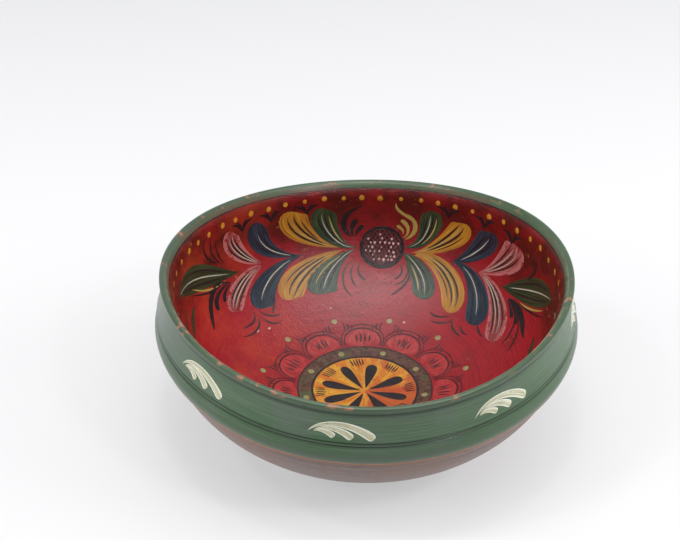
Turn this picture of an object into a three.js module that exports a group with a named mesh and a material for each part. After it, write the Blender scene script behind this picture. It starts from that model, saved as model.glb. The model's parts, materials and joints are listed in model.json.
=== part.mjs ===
// A turned wooden ale bowl with a painted inside and a painted rim. Millimetres, +Z up.
//
// The bowl is turned from one blank, so nothing on it moves or fastens. What lies on the wood are
// its coats of paint: a red one inside, a green one over the lip, the band and the belt, and the two
// fields of the medallion in the middle of the floor. The origin is on the table, under the middle
// of the foot. The dried wood has pulled the rim into a saddle, highest at its +X and -X ends.
import * as THREE from 'three';

// Overall sizes, measured on the finished surface.
const LIP_DIAMETER = 280; // across the outside of the lip
const RIM_HEIGHT = 118; // from the table to the lip's outer edge, half way up the saddle
const RIM_WARP = 6.5; // how far the rim rises at its ends, and sinks at its sides

// The lip, and the groove under it.
const LIP_WIDTH = 6.3; // from the lip's outer edge to its inner one
const LIP_CREST = 1.2; // how far the crest stands above the outer edge
const LIP_DROP = 3.2; // how far the inner edge lies below the outer one
const LIP_DEPTH = 5.4; // from the outer edge down to the groove
const LIP_GROOVE = 1.9; // how far in the groove is cut

// The band under the lip, the two turned lines and the belt.
const BAND_WIDTH = 19.7; // from the lip's groove down to the upper line
const BAND_HOLLOW = 0.5; // how far the band is hollowed between its edges
const BELT_PROUD = 3.6; // how far the belt's edges stand out past the lip
const BELT_WIDTH = 13.6; // from the lower line to the belt's lower edge
const BELT_BULGE = 2; // how far its middle stands out past its edges
const BELT_LEDGE = 4.6; // how far the lower body steps in under the belt
const LINE_SPACING = 2.8;
const LINE_WIDTH = 1.4;
const LINE_DEPTH = 0.8;
const BARE_EDGE = 0.8; // the unpainted lower corner of the belt

// The lower body and the foot.
const FOOT_DIAMETER = 124;
const FOOT_HEIGHT = 3;
const FOOT_CORNER = 1;
const BODY_FULLNESS = 1.55; // 1 is a straight cone, 2 an ellipse

// The inside.
const WALL_AT_DOTS = 9; // from the lip's outer edge in to the straight top of the inner wall
const DOTS_DEPTH = 10.8; // from the lip's outer edge down to there
const FLOOR_THICKNESS = 16;
const INSIDE_FULLNESS = 2.35;
const MEDALLION_DIAMETER = 98;
const DISC_DIAMETER = 75.5;

// The coats of paint, and the clearance that each keeps to the wood and to its neighbours.
const COAT = 0.4;
const CLEARANCE = 0.3;

const SIDES = 48; // facets round the bowl
const lipRadius = LIP_DIAMETER / 2;
const grooveHeight = RIM_HEIGHT - LIP_DEPTH;
const upperLine = grooveHeight - BAND_WIDTH - LINE_WIDTH / 2;
const lowerLine = upperLine - LINE_SPACING;
const beltRadius = lipRadius + BELT_PROUD;
const beltTop = lowerLine - LINE_WIDTH / 2;
const beltBottom = beltTop - BELT_WIDTH;

const at = (radius, height) => new THREE.Vector2(radius, height);

// The points of an arc from one point to another, standing out by bulge to the right of its way.
function arc(start, end, bulge, steps) {
  const across = end.clone().sub(start);
  const outward = at(across.y, -across.x).normalize();
  return Array.from({ length: steps + 1 }, (_, i) => {
    const t = i / steps;
    return start.clone().addScaledVector(across, t).addScaledVector(outward, bulge * 4 * t * (1 - t));
  });
}

// A quarter of a superellipse from (0, 1) to (1, 0), whose fullness is its exponent.
function quarter(fullness, steps) {
  return Array.from({ length: steps + 1 }, (_, i) => {
    const angle = (Math.PI / 2) * (i / steps);
    return at(Math.sin(angle) ** (2 / fullness), Math.cos(angle) ** (2 / fullness));
  });
}

// Each profile below is a list of points (radius, height) on the finished surface.
// Together they run from the middle of the foot, up the outside and down to the middle of the floor.
function footAndBody() {
  const foot = FOOT_DIAMETER / 2;
  const top = beltBottom - 2 * BARE_EDGE;
  const reach = beltRadius - BELT_LEDGE - foot;
  const rise = top - FOOT_HEIGHT;
  const curve = quarter(BODY_FULLNESS, 8).map((p) => at(foot + reach * p.x, top - rise * p.y));
  return [at(0, 0), at(foot - FOOT_CORNER, 0), at(foot, FOOT_CORNER), ...curve];
}

function beltAndLines() {
  const grooved = beltRadius - LINE_DEPTH;
  const land = (LINE_SPACING - LINE_WIDTH) / 2;
  return [
    ...arc(at(beltRadius, beltBottom), at(beltRadius, beltTop), BELT_BULGE, 4),
    at(grooved, lowerLine),
    at(beltRadius, lowerLine + LINE_SPACING / 2 - land),
    at(beltRadius, lowerLine + LINE_SPACING / 2 + land),
    at(grooved, upperLine),
  ];
}

function bandAndLip() {
  const groove = at(lipRadius - LIP_GROOVE, grooveHeight);
  const band = arc(at(beltRadius, upperLine + LINE_WIDTH / 2), groove, -BAND_HOLLOW, 3);
  const lip = new THREE.SplineCurve([
    groove,
    at(lipRadius - 0.2, RIM_HEIGHT - 0.55 * LIP_DEPTH),
    at(lipRadius, RIM_HEIGHT),
    at(lipRadius - 0.25 * LIP_WIDTH, RIM_HEIGHT + LIP_CREST),
    at(lipRadius - 0.65 * LIP_WIDTH, RIM_HEIGHT),
    at(lipRadius - LIP_WIDTH, RIM_HEIGHT - LIP_DROP),
  ]);
  return [...band, ...lip.getPoints(7).slice(1)];
}

function inside() {
  const wall = lipRadius - WALL_AT_DOTS;
  const top = RIM_HEIGHT - DOTS_DEPTH;
  const depth = top - FLOOR_THICKNESS;
  const lipEdge = at(lipRadius - LIP_WIDTH, RIM_HEIGHT - LIP_DROP);
  const flare = new THREE.QuadraticBezierCurve(lipEdge, at(wall, (lipEdge.y + top) / 2), at(wall, top));
  const hollow = quarter(INSIDE_FULLNESS, 10).reverse();
  return [...flare.getPoints(2), ...hollow.slice(1).map((p) => at(wall * p.x, top - depth * p.y))];
}

// The profile moved into the wood by a distance, each point square to the surface.
function sunk(points, distance) {
  return points.map((point, i) => {
    const before = points[Math.max(i - 1, 0)];
    const after = points[Math.min(i + 1, points.length - 1)];
    const way = after.clone().sub(before).normalize();
    const moved = at(point.x - way.y * distance, point.y + way.x * distance);
    return point.x === 0 ? at(0, point.y - distance) : moved;
  });
}

// The stretch of a profile between two radii, with new end points where it crosses them.
function between(points, outer, inner) {
  const cut = (radius) => {
    const i = points.findIndex((p) => p.x < radius);
    const part = (points[i - 1].x - radius) / (points[i - 1].x - points[i].x);
    return points[i - 1].clone().lerp(points[i], part);
  };
  const kept = points.filter((p) => p.x < outer && (inner === 0 || p.x > inner));
  return [cut(outer), ...kept, ...(inner === 0 ? [] : [cut(inner)])];
}

// Turns a closed profile into a solid and pulls it into the saddle.
function turned(profile) {
  const geometry = new THREE.LatheGeometry(profile, SIDES).rotateX(Math.PI / 2);
  const position = geometry.attributes.position;
  for (let i = 0; i < position.count; i++) {
    const angle = Math.atan2(position.getY(i), position.getX(i));
    const height = position.getZ(i);
    const pull = RIM_WARP * (height / RIM_HEIGHT) ** 2 * Math.cos(2 * angle);
    position.setZ(i, height + pull);
  }
  geometry.computeVertexNormals();
  return geometry;
}

// A coat of paint: its face is the given stretch of the surface, and its back lies COAT below it.
function coat(face) {
  const back = sunk(face, COAT).reverse();
  const reachesAxis = face.at(-1).x === 0;
  return turned(reachesAxis ? [...back, ...face] : [...face, ...back, face[0]]);
}

const belt = beltAndLines();
const band = bandAndLip();
const hollow = inside();

// The blank is bare below the belt, and sunk under the paint from the belt to the floor.
const bareEdge = [
  at(beltRadius - BARE_EDGE / 2, beltBottom - BARE_EDGE),
  at(beltRadius, beltBottom - CLEARANCE),
];
const painted = [...belt, ...band, ...hollow.slice(1)];
const blank = [...footAndBody(), ...bareEdge, ...sunk(painted, COAT + CLEARANCE)];

// The coats keep half the clearance on each side of the lines where they meet.
const half = CLEARANCE / 2;
const medallionRadius = MEDALLION_DIAMETER / 2;
const discRadius = DISC_DIAMETER / 2;
const redCoat = between(hollow, lipRadius - LIP_WIDTH - CLEARANCE, medallionRadius + half);
const ring = between(hollow, medallionRadius - half, discRadius + half);
const disc = between(hollow, discRadius - half, 0);

function part(name, geometry, color, roughness) {
  const mesh = new THREE.Mesh(geometry, new THREE.MeshStandardMaterial({ color, roughness }));
  mesh.name = name;
  return mesh;
}

const bowl = new THREE.Group();
bowl.add(
  part('turned_bowl', turned(blank), 0x7e6a63, 0.5),
  part('green_rim_coat', coat([...belt, ...band]), 0x5c7f68, 0.45),
  part('red_inside_coat', coat(redCoat), 0x9a201e, 0.3),
  part('medallion_ring', coat(ring), 0x5e4030, 0.35),
  part('medallion_disc', coat(disc), 0xd08a26, 0.35),
);

export default bowl;
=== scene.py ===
"""A turned wooden ale bowl, painted inside with two garlands and a medallion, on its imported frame.

Every turned piece comes off one lathe tree, and every brush stroke off one brush tree, so the whole
ornament is written below as strokes in the bowl's own measures: degrees round from the seed head,
and millimetres along the painted surface.
"""
import copy
import json
import math
import random

import bpy
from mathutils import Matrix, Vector

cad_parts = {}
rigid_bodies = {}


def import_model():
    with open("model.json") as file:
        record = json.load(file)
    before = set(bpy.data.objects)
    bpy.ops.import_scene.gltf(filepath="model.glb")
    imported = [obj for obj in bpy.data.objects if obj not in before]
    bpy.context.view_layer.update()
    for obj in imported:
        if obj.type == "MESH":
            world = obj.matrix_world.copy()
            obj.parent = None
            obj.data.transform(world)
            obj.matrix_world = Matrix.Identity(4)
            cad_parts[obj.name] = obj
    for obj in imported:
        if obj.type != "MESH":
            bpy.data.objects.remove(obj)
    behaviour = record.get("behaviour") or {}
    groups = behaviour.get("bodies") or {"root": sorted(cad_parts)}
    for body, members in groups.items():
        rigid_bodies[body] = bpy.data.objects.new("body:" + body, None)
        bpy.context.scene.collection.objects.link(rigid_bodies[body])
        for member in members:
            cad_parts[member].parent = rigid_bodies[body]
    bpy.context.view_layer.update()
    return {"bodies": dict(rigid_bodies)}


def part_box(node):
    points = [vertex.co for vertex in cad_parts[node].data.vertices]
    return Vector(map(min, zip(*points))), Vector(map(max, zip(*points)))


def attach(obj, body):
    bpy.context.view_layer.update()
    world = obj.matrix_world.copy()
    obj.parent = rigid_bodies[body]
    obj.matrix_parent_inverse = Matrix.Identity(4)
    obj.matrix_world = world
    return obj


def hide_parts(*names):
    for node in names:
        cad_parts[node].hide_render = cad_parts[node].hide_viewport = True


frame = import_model()

# One drawing millimetre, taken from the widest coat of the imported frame.
BELT_RADIUS = 145.6
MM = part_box("green_rim_coat")[1].x / BELT_RADIUS
BODY = next(iter(frame["bodies"]))

# The bowl's measures, in drawing millimetres. A pair is a radius and a height.
RIM_HEIGHT = 118
MIDDLE_HEIGHT = 60
RIM_PULL = 6.5
FOOT_RADIUS = 62
WOOD_TOP = 73.5
BAND_FOOT = (143.6, 92.9)
BAND_HEAD = (138.1, 112.6)
BAND_HOLLOW = 0.5
LIP_INNER_EDGE = (133.7, 114.8)
WALL_TOP = (131, 107.2)
FLOOR_TOP = 16
RED_RADIUS, RING_RADIUS, DISC_RADIUS = 134, 48.9, 37.7
COAT = 0.4
BEDDING = 0.25

# The turned pieces' sides, and the way round, in degrees, at which the garland's seed head stands.
SIDES = 256
SEED_ANGLE = 79.0

# Points closer than this, in metres, are joined where a turned piece's ends meet.
SEAM = 2e-6

# Edges that turn by more than this stay crisp.
SHARPEST_SMOOTH = math.radians(38)

# What each point handed to the brush tree carries: its bend's handles, and its numbers.
HANDLES = ("root", "bend_1", "bend_2", "tip")
NUMBERS = ("half", "swell", "late", "close", "lift", "tone")


# ---------------------------------------------------------------- camera, light and stage


def place_camera():
    """Looks down into the bowl from the front, a little left of its middle."""
    aim = Vector((-11.5, 93.2, MIDDLE_HEIGHT)) * MM
    distance, rise, turn = 1025.2 * MM, math.radians(33.26), math.radians(4.0)
    flat = math.cos(rise)
    back = Vector((-math.sin(turn) * flat, -math.cos(turn) * flat, math.sin(rise)))
    data = bpy.data.cameras.new("camera")
    data.lens = 71.2
    data.sensor_width = 36
    data.clip_start = 0.01
    data.clip_end = 50
    camera = bpy.data.objects.new("camera", data)
    camera.location = aim + back * distance
    camera.rotation_mode = "QUATERNION"
    camera.rotation_quaternion = (-back).to_track_quat("-Z", "Y")
    bpy.context.scene.collection.objects.link(camera)
    bpy.context.scene.camera = camera


def soft_light(name, bearing, rise, distance, size, power, mirrored=True):
    """A soft light over the bowl, at that bearing and rise in degrees, and distance in metres."""
    aim = Vector((0, 0, MIDDLE_HEIGHT)) * MM
    flat = math.cos(math.radians(rise))
    way = Vector(
        (
            math.sin(math.radians(bearing)) * flat,
            -math.cos(math.radians(bearing)) * flat,
            math.sin(math.radians(rise)),
        )
    )
    data = bpy.data.lights.new(name, "AREA")
    data.shape = "RECTANGLE"
    data.size, data.size_y = size
    data.energy = power
    light = bpy.data.objects.new(name, data)
    light.location = aim + way * distance
    light.visible_glossy = mirrored
    light.rotation_mode = "QUATERNION"
    light.rotation_quaternion = (-way).to_track_quat("-Z", "Y")
    bpy.context.scene.collection.objects.link(light)


def light_room():
    """A pale room with one wide window overhead, one to either side, and three small lamps."""
    world = bpy.data.worlds.new("soft room")
    world.use_nodes = True
    bpy.context.scene.world = world
    sky = world.node_tree.nodes["Background"]
    sky.inputs["Color"].default_value = (0.95, 0.96, 1.0, 1)
    sky.inputs["Strength"].default_value = 0.2
    wide, tall, small = (1.5, 1.5), (1.3, 1.0), (0.16, 0.16)
    soft_light("overhead window", 60, 84, 1.4, wide, 16.5)
    soft_light("left window", -82, 24, 1.7, tall, 23, mirrored=False)
    soft_light("right window", 82, 24, 1.7, tall, 27, mirrored=False)
    soft_light("left lamp", -68, 56, 1.4, small, 2.8)
    soft_light("right lamp", 41, 48, 1.4, small, 2.8)
    soft_light("high lamp", -19, 79, 1.4, small, 2.0)


# ---------------------------------------------------------------- nodes


class Wire:
    """An output socket. Reckoning with it adds the node that does the sum."""

    def __init__(self, board, socket):
        self.board = board
        self.socket = socket

    def also(self, name):
        """Another output of the same node."""
        return Wire(self.board, self.socket.node.outputs[name])

    def __add__(self, other):
        return self.board.sum("ADD", self, other)

    def __radd__(self, other):
        return self.board.sum("ADD", other, self)

    def __sub__(self, other):
        return self.board.sum("SUBTRACT", self, other)

    def __rsub__(self, other):
        return self.board.sum("SUBTRACT", other, self)

    def __mul__(self, other):
        return self.board.sum("MULTIPLY", self, other)

    def __rmul__(self, other):
        return self.board.sum("MULTIPLY", other, self)

    def __truediv__(self, other):
        return self.board.sum("DIVIDE", self, other)


def is_vector(value):
    if isinstance(value, Wire):
        return value.socket.type == "VECTOR"
    return isinstance(value, (tuple, list, Vector))


class Board:
    """A node tree and the ways this script adds to it."""

    def __init__(self, tree):
        self.tree = tree
        self.entries = None

    def plug(self, socket, value):
        if isinstance(value, Wire):
            self.tree.links.new(value.socket, socket)
        else:
            socket.default_value = value

    def add(self, kind, settings=None, sockets=None, out=0):
        """One node: its settings first, then what goes into its sockets."""
        node = self.tree.nodes.new(kind)
        for name, value in (settings or {}).items():
            setattr(node, name, value)
        for key, value in (sockets or {}).items():
            self.plug(node.inputs[key], value)
        return Wire(self, node.outputs[out])

    def sum(self, operation, *values):
        """A Math node, or a Vector Math node where a vector goes in."""
        if not any(is_vector(v) for v in values):
            return self.add("ShaderNodeMath", {"operation": operation}, dict(enumerate(values)))
        if operation == "MULTIPLY" and not all(is_vector(v) for v in values):
            vector, number = values if is_vector(values[0]) else values[::-1]
            return self.add("ShaderNodeVectorMath", {"operation": "SCALE"}, {0: vector, "Scale": number})
        return self.add("ShaderNodeVectorMath", {"operation": operation}, dict(enumerate(values)))

    def split(self, vector):
        x = self.add("ShaderNodeSeparateXYZ", {}, {0: vector}, "X")
        return x, x.also("Y"), x.also("Z")

    def join(self, x, y, z):
        return self.add("ShaderNodeCombineXYZ", {}, {0: x, 1: y, 2: z})

    def between(self, value, low, high):
        """Smoothly from 0 to 1 as value goes from low to high."""
        settings = {"interpolation_type": "SMOOTHSTEP"}
        return self.add("ShaderNodeMapRange", settings, {0: value, 1: low, 2: high})

    def entry(self, name, kind, value=None):
        """A named input of a geometry tree."""
        item = self.tree.interface.new_socket(name=name, in_out="INPUT", socket_type=kind)
        if value is not None:
            item.default_value = value
        if self.entries is None:
            self.entries = self.tree.nodes.new("NodeGroupInput")
        return Wire(self, self.entries.outputs[name])

    def store(self, geometry, name, value, kind="FLOAT_VECTOR"):
        """The geometry with a named attribute on its points."""
        settings = {"data_type": kind, "domain": "POINT"}
        sockets = {"Geometry": geometry, "Name": name, "Value": value}
        return self.add("GeometryNodeStoreNamedAttribute", settings, sockets)

    def hand_over(self, geometry, finish):
        """Ends a geometry tree with a smooth real mesh that has its finish."""
        smooth = {"Geometry": geometry, "Shade Smooth": True}
        geometry = self.add("GeometryNodeSetShadeSmooth", {}, smooth)
        geometry = self.add("GeometryNodeRealizeInstances", {}, {"Geometry": geometry})
        coated = {"Geometry": geometry, "Material": finish}
        geometry = self.add("GeometryNodeSetMaterial", {}, coated)
        self.tree.interface.new_socket(name="Geometry", in_out="OUTPUT", socket_type="NodeSocketGeometry")
        self.plug(self.tree.nodes.new("NodeGroupOutput").inputs[0], geometry)
        return self.tree

    # The rest is for materials.

    def colour_mix(self, share, first, second):
        return self.add("ShaderNodeMix", {"data_type": "RGBA"}, {0: share, 6: first, 7: second}, 2)

    def noise(self, place, scale, detail, rough):
        sockets = {"Vector": place, "Scale": scale, "Detail": detail, "Roughness": rough}
        return self.add("ShaderNodeTexNoise", {}, sockets, "Fac")

    def attribute(self, name, out="Vector"):
        settings = {"attribute_type": "GEOMETRY", "attribute_name": name}
        return self.add("ShaderNodeAttribute", settings, {}, out)


def geometry_tree(name):
    return Board(bpy.data.node_groups.new(name, "GeometryNodeTree"))


def placed(board, radius, height, angle):
    """The point that lies that way round the bowl's axis."""
    return board.join(radius * board.sum("COSINE", angle), radius * board.sum("SINE", angle), height)


def pulled(board, radius, height, angle, pull, rim):
    """The same point once the drying wood has pulled the bowl into a saddle."""
    lift = pull * (height / rim) * (height / rim) * board.sum("COSINE", angle * 2)
    return placed(board, radius, height + lift, angle)


def lathe_tree():
    """Turns a profile, drawn as a flat curve of radius and height, into a closed round piece."""
    board = geometry_tree("turn on the lathe")
    board.entry("Geometry", "NodeSocketGeometry")
    profile = board.entry("Profile", "NodeSocketObject")
    sides = board.entry("Sides", "NodeSocketInt", 64)
    pull = board.entry("Rim Pull", "NodeSocketFloat")
    rim = board.entry("Rim Height", "NodeSocketFloat")
    finish = board.entry("Finish", "NodeSocketMaterial")
    line = board.add("GeometryNodeObjectInfo", {}, {"Object": profile}, "Geometry")
    size = {"component": "CURVE"}
    count = board.add("GeometryNodeAttributeDomainSize", size, {0: line}, "Point Count")
    grid = board.add("GeometryNodeMeshGrid", {}, {"Vertices X": sides + 1, "Vertices Y": count}, "Mesh")
    index = board.add("GeometryNodeInputIndex")
    column = board.sum("FLOOR", index / count)
    row = index - column * count

    def of_profile(kind, value):
        settings = {"data_type": kind, "domain": "POINT"}
        sockets = {"Geometry": line, "Value": value, "Index": row}
        return board.add("GeometryNodeSampleIndex", settings, sockets)

    point = of_profile("FLOAT_VECTOR", board.add("GeometryNodeInputPosition"))
    along = of_profile("FLOAT", board.add("GeometryNodeSplineParameter", {}, {}, "Length"))
    radius, _, height = board.split(point)
    angle = column / sides * math.tau
    piece = board.store(grid, "as_turned", placed(board, radius, height, angle))
    piece = board.store(piece, "along", along, "FLOAT")
    spot = pulled(board, radius, height, angle, pull, rim)
    piece = board.add("GeometryNodeSetPosition", {}, {"Geometry": piece, "Position": spot})
    seam = {"Geometry": piece, "Distance": SEAM}
    return board.hand_over(board.add("GeometryNodeMergeByDistance", {}, seam), finish)


def brush_tree():
    """Lays brush strokes on a turned surface.

    Each point handed in is a stroke: it carries the four handles of the bend that the brush follows,
    as angles round the bowl and lengths along the surface, the stroke's width, and how quickly it
    swells, how late it is fullest and how sharply it closes. A ball is stretched over each, so that
    a stroke is a closed, slightly raised body of paint.
    """
    board = geometry_tree("lay brush strokes")
    strokes = board.entry("Geometry", "NodeSocketGeometry")
    surface = board.entry("Surface", "NodeSocketObject")
    rings = board.entry("Rings", "NodeSocketInt", 12)
    segments = board.entry("Segments", "NodeSocketInt", 8)
    body = board.entry("Body of Paint", "NodeSocketFloat")
    bedding = board.entry("Bedding", "NodeSocketFloat")
    pull = board.entry("Rim Pull", "NodeSocketFloat")
    rim = board.entry("Rim Height", "NodeSocketFloat")
    finish = board.entry("Finish", "NodeSocketMaterial")
    line = board.add("GeometryNodeObjectInfo", {}, {"Object": surface}, "Geometry")
    fineness = {"Segments": segments, "Rings": rings, "Radius": 1.0}
    ball = board.add("GeometryNodeMeshUVSphere", {}, fineness, "Mesh")
    ball = board.store(ball, "ball", board.add("GeometryNodeInputPosition"))
    laid = board.add("GeometryNodeInstanceOnPoints", {}, {"Points": strokes, "Instance": ball})
    laid = board.add("GeometryNodeRealizeInstances", {}, {"Geometry": laid})

    def carried(name, kind="FLOAT"):
        settings = {"data_type": kind}
        return board.add("GeometryNodeInputNamedAttribute", settings, {"Name": name}, "Attribute")

    def on_surface(length):
        sockets = {"Curves": line, "Length": length}
        return board.add("GeometryNodeSampleCurve", {"mode": "LENGTH"}, sockets, "Position")

    x, y, z = board.split(carried("ball", "FLOAT_VECTOR"))
    way = board.sum("MAXIMUM", 0.5 - z * 0.5, 0.0)
    around = board.sum("ARCTAN2", y, x)
    across = board.sum("COSINE", around)
    upward = board.sum("SINE", around)
    rest = 1 - way
    root, one, two, tip = [carried(name, "FLOAT_VECTOR") for name in HANDLES]
    spine = root * (rest * rest * rest) + one * (3 * rest * rest * way)
    spine = spine + two * (3 * rest * way * way) + tip * (way * way * way)
    run = (one - root) * (rest * rest) + (two - one) * (2 * rest * way) + (tip - two) * (way * way)
    turn, length, _ = board.split(spine)
    run_turn, run_length, _ = board.split(run)
    radius, _, _ = board.split(on_surface(length))
    run_turn = run_turn * radius
    span = board.sum("SQRT", run_turn * run_turn + run_length * run_length + 1e-12)
    closing = board.sum("MAXIMUM", 1 - board.sum("POWER", way, carried("late")), 0.0)
    half = carried("half") * board.sum("POWER", way, carried("swell"))
    half = half * board.sum("POWER", closing, carried("close"))
    aside = across * half / span
    angle = turn - aside * run_length / radius
    sampled = on_surface(length + aside * run_turn)
    radius, _, height = board.split(sampled)
    slope_out, _, slope_up = board.split(sampled.also("Tangent"))
    crown = body * (1 - across * across * across * across)
    is_top = board.sum("GREATER_THAN", upward, -0.01)
    lift = is_top * (carried("lift") + crown) - (1 - is_top) * bedding
    radius = radius - slope_up * lift
    height = height + slope_out * lift
    laid = board.store(laid, "stroke", board.join(way, across, carried("tone")))
    laid = board.store(laid, "as_turned", placed(board, radius, height, angle))
    spot = pulled(board, radius, height, angle, pull, rim)
    laid = board.add("GeometryNodeSetPosition", {}, {"Geometry": laid, "Position": spot})
    return board.hand_over(laid, finish)


def grow(name, mesh, tree, values):
    """Runs a tree over a mesh and keeps what comes out as a plain mesh."""
    piece = bpy.data.objects.new(name, mesh)
    bpy.context.scene.collection.objects.link(piece)
    making = piece.modifiers.new("making", "NODES")
    making.node_group = tree
    for item in tree.interface.items_tree:
        if item.in_out == "INPUT" and item.name in values:
            making[item.identifier] = values[item.name]
    shop = bpy.context.evaluated_depsgraph_get()
    made = bpy.data.meshes.new_from_object(
        piece.evaluated_get(shop), preserve_all_data_layers=True, depsgraph=shop
    )
    piece.modifiers.clear()
    piece.data = made
    made.name = name
    made.set_sharp_from_angle(angle=SHARPEST_SMOOTH)
    return piece


# ---------------------------------------------------------------- the bowl's outline


def arc(start, end, bulge, steps):
    """From start to end with its middle pushed bulge to the right of the way there."""
    (r0, h0), (r1, h1) = start, end
    span = math.hypot(r1 - r0, h1 - h0)
    out = ((h1 - h0) / span, -(r1 - r0) / span)
    points = []
    for i in range(steps + 1):
        t = i / steps
        push = bulge * 4 * t * (1 - t)
        points.append((r0 + (r1 - r0) * t + out[0] * push, h0 + (h1 - h0) * t + out[1] * push))
    return points


def eased(p, q, s, e, t):
    """A share t of the smooth way from q to s, when p comes before them and e after."""
    place = 2 * q + (s - p) * t
    place += (2 * p - 5 * q + 4 * s - e) * t * t
    place += (3 * q - p - 3 * s + e) * t**3
    return 0.5 * place


def smooth_through(points, steps):
    """A smooth line through points, which starts and ends on its outer ones."""
    ends = [points[0], *points, points[-1]]
    line = []
    for four in zip(ends, ends[1:], ends[2:], ends[3:]):
        line += [tuple(eased(*each, i / steps) for each in zip(*four)) for i in range(steps)]
    return line + [points[-1]]


def sunk(line, depth):
    """The line pushed into the wood, which lies to the left of the way the outline runs."""
    moved = []
    for i, (r, h) in enumerate(line):
        before, after = line[max(i - 1, 0)], line[min(i + 1, len(line) - 1)]
        dr, dh = after[0] - before[0], after[1] - before[1]
        span = math.hypot(dr, dh) or 1
        moved.append((max(r - dh / span * depth, 0), h + dr / span * depth))
    return moved


def fullness(turn, power):
    """Sine and cosine of a rounder or flatter quarter than a circle's."""
    return abs(math.sin(turn)) ** (2 / power), abs(math.cos(turn)) ** (2 / power)


def outside_wood():
    """Foot, bowl and the bare edge under the belt, from the axis outward and up."""
    line = [(0, 0), (30, 0), (61, 0), (61.7, 0.3), (FOOT_RADIUS, 1)]
    steps, side_foot, side_radius, roundness = 72, 3, 139, 1.55
    for i in range(steps + 1):
        across, down = fullness(math.pi / 2 * i / steps, roundness)
        radius = FOOT_RADIUS + (side_radius - FOOT_RADIUS) * across
        line.append((radius, WOOD_TOP - (WOOD_TOP - side_foot) * down))
    return line + [(141.5, 73.6), (143.2, 74.2), (143.6, 74.8)]


def outside_paint():
    """Belt, two turned lines, hollow band and lip, up to the lip's inner edge."""
    belt = arc((143.6, 75.1), (143.6, 88.7), 2, 16)
    lines = [(142.8, 89.4), (143.4, 89.9), (143.6, 90.5), (143.6, 91.2), (143.4, 91.7), (142.8, 92.2)]
    band = arc(BAND_FOOT, BAND_HEAD, -BAND_HOLLOW, 18)
    lip = [BAND_HEAD, (139.8, 115.0), (140, 118), (138.4, 119.2), (135.9, 118), LIP_INNER_EDGE]
    return belt + lines + band + smooth_through(lip, 6)[1:]


def inside_paint():
    """From the lip's inner edge down the wall and over the floor to the axis."""
    line = []
    (lip_radius, lip_height), (top_radius, top_height) = LIP_INNER_EDGE, WALL_TOP
    shoulder, shoulder_steps, wall_steps, roundness = 111, 10, 120, 2.35
    for i in range(shoulder_steps):
        t = i / shoulder_steps
        radius = lip_radius * (1 - t) ** 2 + top_radius * (1 - (1 - t) ** 2)
        height = lip_height * (1 - t) ** 2 + 2 * shoulder * t * (1 - t) + top_height * t * t
        line.append((radius, height))
    for i in range(wall_steps + 1):
        across, down = fullness(math.pi / 2 * (1 - i / wall_steps), roundness)
        line.append((top_radius * across, top_height - (top_height - FLOOR_TOP) * down))
    return line


def coat(face):
    """A closed thin coat of paint under that face."""
    return face + sunk(face, COAT)[::-1] + face[:1]


def lengths_along(line):
    """How far each point is along the line, with its radius."""
    total = 0.0
    lengths = []
    for before, after in zip([line[0]] + line, line):
        total += math.dist(before, after)
        lengths.append((total, after[0]))
    return lengths


def cut(line, outer, inner):
    """The stretch of the inside line between two radii, with its ends exactly on them."""
    kept = [line[0]] if inner <= line[0][0] <= outer else []
    for (r0, h0), (r1, h1) in zip(line, line[1:]):
        for radius in (outer, inner):
            if (r0 - radius) * (r1 - radius) < 0:
                kept.append((radius, h0 + (h1 - h0) * (radius - r0) / (r1 - r0)))
        if inner <= r1 <= outer:
            kept.append((r1, h1))
    return kept


def drawn_line(name, line):
    """A poly curve of radius and height, which the trees read."""
    data = bpy.data.curves.new(name, "CURVE")
    data.dimensions = "3D"
    spline = data.splines.new("POLY")
    spline.points.add(len(line) - 1)
    for point, (r, h) in zip(spline.points, line):
        point.co = (r * MM, 0, h * MM, 1)
    helper = bpy.data.objects.new(name, data)
    bpy.context.scene.collection.objects.link(helper)
    return helper


def discard(helper):
    """Takes a drawn line out of the scene."""
    data = helper.data
    bpy.data.objects.remove(helper)
    bpy.data.curves.remove(data)


def turned_piece(name, line, finish, node):
    """Turns the outline into the piece that stands for that CAD node."""
    helper = drawn_line(name + " outline", line)
    values = {
        "Profile": helper,
        "Sides": SIDES,
        "Rim Pull": RIM_PULL * MM,
        "Rim Height": RIM_HEIGHT * MM,
        "Finish": finish,
    }
    piece = grow(name, bpy.data.meshes.new(name), LATHE, values)
    discard(helper)
    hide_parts(node)
    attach(piece, BODY)
    return piece


# ---------------------------------------------------------------- strokes

# The inside from the middle of the floor up to the lip, and its points' lengths and radii.
INSIDE = inside_paint()[::-1]
INSIDE_LENGTHS = lengths_along(INSIDE)

# How far up the wall a degree is taken when a bend's tightness is judged, in millimetres.
MID_WALL = 150

# A bend tighter than this many half widths would fold its stroke.
TIGHT = 1.5

# A leaf's paint stops a little inside its outline.
LEAF_FILL = 0.94

# A stroke goes this far into its coat, in millimetres.
STROKE_BEDDING = 0.15

# How high each layer of strokes stands over its coat, in millimetres, from the first laid to the last.
LAYERS = {
    "scallop fields": 0.02,
    "pink leaves": 0.03,
    "tip leaves": 0.03,
    "petals and dots": 0.05,
    "sprays": 0.06,
    "blue leaves": 0.07,
    "disc hatches": 0.08,
    "fine lines": 0.1,
    "ochre leaves": 0.11,
    "scallop arches": 0.12,
    "green leaves": 0.15,
    "twigs": 0.16,
    "black lines": 0.2,
    "pale lines": 0.26,
    "seed cores": 0.3,
    "seed lattice": 0.4,
    "seed dots": 0.46,
}


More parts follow.
